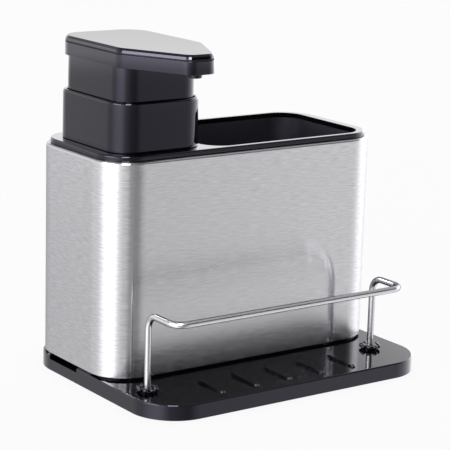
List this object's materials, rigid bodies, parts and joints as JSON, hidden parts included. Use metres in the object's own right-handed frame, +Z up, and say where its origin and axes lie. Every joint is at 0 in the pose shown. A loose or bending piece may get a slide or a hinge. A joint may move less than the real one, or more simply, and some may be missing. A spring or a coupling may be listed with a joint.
{
  "type": "soap pump caddy",
  "caption": "Free-standing sink caddy: brushed steel sleeve on a black drip tray, with a soap pump, a brush well and a wire rail round a ribbed shelf",
  "frame": {"origin": "middle of the tray's footprint, on the surface that the feet stand on", "axes": "+X to the user's right along the sleeve, +Y away from the user, +Z up"},
  "size_m": [0.1624, 0.121, 0.1647],
  "materials": {
    "black_plastic": "polished black moulding",
    "sleeve_steel": "stainless sheet brushed along its width",
    "rail_steel": "satin stainless wire",
    "screw_steel": "plain stainless",
    "ball_steel": "ground and polished steel",
    "spring_steel": "bright drawn wire",
    "foot_rubber": "matt black rubber",
    "seal_rubber": "grey moulded seal",
    "bottle_plastic": "smoke-coloured blow moulding",
    "natural_plastic": "natural polypropylene"
  },
  "bodies": {
    "caddy": {"drip_tray": "black_plastic", "rubber_feet": "foot_rubber", "base_screws": "screw_steel", "steel_sleeve": "sleeve_steel", "deck_frame": "black_plastic", "brush_well": "black_plastic", "rail_collar_left": "black_plastic", "rail_collar_right": "black_plastic"},
    "rail": {"wire_rail": "rail_steel"},
    "bottle": {"soap_bottle": "bottle_plastic"},
    "pump_base": {"pump_collar": "black_plastic", "mouth_seal": "seal_rubber", "pump_cylinder": "natural_plastic", "cylinder_nut": "natural_plastic", "stem_bush": "natural_plastic", "ball_cage": "natural_plastic", "dip_tube": "natural_plastic", "return_spring": "spring_steel"},
    "pump_head": {"plunger_shroud": "black_plastic", "head_shell": "black_plastic", "head_cap": "black_plastic", "nozzle_tip": "black_plastic", "spout_channel": "natural_plastic", "pump_stem": "natural_plastic", "piston": "natural_plastic"},
    "inlet_check": {"inlet_ball": "ball_steel"},
    "outlet_check": {"outlet_ball": "ball_steel"}
  },
  "joints": [
    {"name": "rail_lift", "type": "slide", "parent": "caddy", "child": "rail", "axis": [0, 0, 1], "range_m": [0, 0.012]},
    {"name": "bottle_lift", "type": "slide", "parent": "caddy", "child": "bottle", "axis": [0, 0, 1], "range_m": [0, 0.11]},
    {"name": "pump_lift", "type": "slide", "parent": "bottle", "child": "pump_base", "axis": [0, 0, 1], "range_m": [0, 0.105]},
    {"name": "head_press", "type": "slide", "parent": "pump_base", "child": "pump_head", "axis": [0, 0, -1], "range_m": [0, 0.013], "stiffness_N_per_m": 500, "springref_m": -0.01, "deforming": ["return_spring"]},
    {"name": "inlet_ball_lift", "type": "slide", "parent": "pump_base", "child": "inlet_check", "axis": [0, 0, 1], "range_m": [0, 0.002]},
    {"name": "outlet_ball_lift", "type": "slide", "parent": "pump_head", "child": "outlet_check", "axis": [0, 0, 1], "range_m": [0, 0.0009]}
  ]
}
